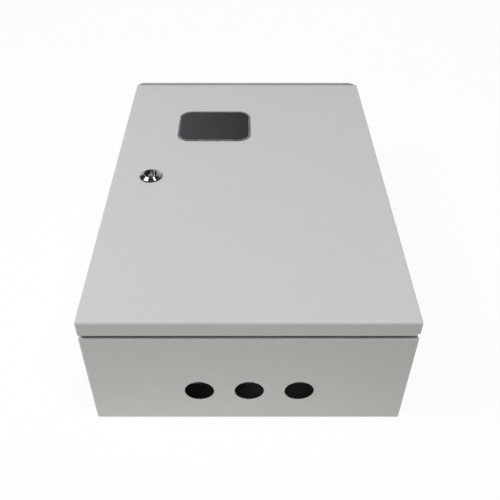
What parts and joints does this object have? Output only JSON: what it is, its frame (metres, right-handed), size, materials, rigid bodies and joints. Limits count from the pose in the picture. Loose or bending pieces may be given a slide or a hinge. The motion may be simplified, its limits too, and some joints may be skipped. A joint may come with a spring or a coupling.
{
  "type": "wall-mounted utility cabinet",
  "caption": "Folded sheet-steel outdoor utility cabinet with a hinged gasketed door, viewing window, quarter-turn lock, rain gutter and round cable entries in its bottom wall.",
  "frame": {"origin": "centre of the back wall's outer face, which lies on a wall in use and on the floor here", "axes": "+Z out of the back wall through the door, +Y to the cabinet's top wall, +X to the hinge side"},
  "size_m": [0.4, 0.5835, 0.1925],
  "materials": {
    "painted_sheet": "light grey powder coat with a fine orange-peel texture",
    "galvanised_sheet": "galvanised steel with a soft spangle",
    "zinc_fastener": "bright zinc plating",
    "brass_fastener": "plain turned brass",
    "gasket_foam": "dark closed-cell foam",
    "window_rubber": "blue-grey soft seal",
    "smoked_pane": "smooth smoked glazing",
    "lock_chrome": "bright chrome plating",
    "lock_rubber": "black rubber"
  },
  "bodies": {
    "body": {"body_shell": "painted_sheet", "drip_strip": "painted_sheet", "mounting_plate": "galvanised_sheet", "plate_studs": "zinc_fastener", "plate_spacers": "zinc_fastener", "plate_washers": "zinc_fastener", "plate_nuts": "zinc_fastener", "body_earth_stud": "brass_fastener", "body_earth_washer": "brass_fastener", "body_earth_nut": "brass_fastener", "upper_hinge_bracket": "painted_sheet", "lower_hinge_bracket": "painted_sheet", "upper_hinge_pin": "zinc_fastener", "lower_hinge_pin": "zinc_fastener", "hinge_clips": "zinc_fastener"},
    "door": {"door_panel": "painted_sheet", "door_gasket": "gasket_foam", "upper_hinge_leaf": "painted_sheet", "lower_hinge_leaf": "painted_sheet", "door_earth_stud": "brass_fastener", "door_earth_washer": "brass_fastener", "door_earth_nut": "brass_fastener", "window_seal": "window_rubber", "window_pane": "smoked_pane", "window_frame": "galvanised_sheet", "window_studs": "zinc_fastener", "window_washers": "zinc_fastener", "window_nuts": "zinc_fastener", "lock_housing": "lock_chrome", "lock_seal": "lock_rubber", "lock_nut": "zinc_fastener"},
    "lock": {"lock_driver": "lock_chrome", "lock_cam": "zinc_fastener", "cam_washer": "zinc_fastener", "cam_screw": "zinc_fastener"}
  },
  "joints": [
    {"name": "door_hinge", "type": "hinge", "parent": "body", "child": "door", "pos_m": [0.195, 0, 0.172], "axis": [0, 1, 0], "range_deg": [0, 120]},
    {"name": "lock_turn", "type": "hinge", "parent": "door", "child": "lock", "pos_m": [-0.143, -0.0005, 0.156], "axis": [0, 0, 1], "range_deg": [0, 90]}
  ]
}
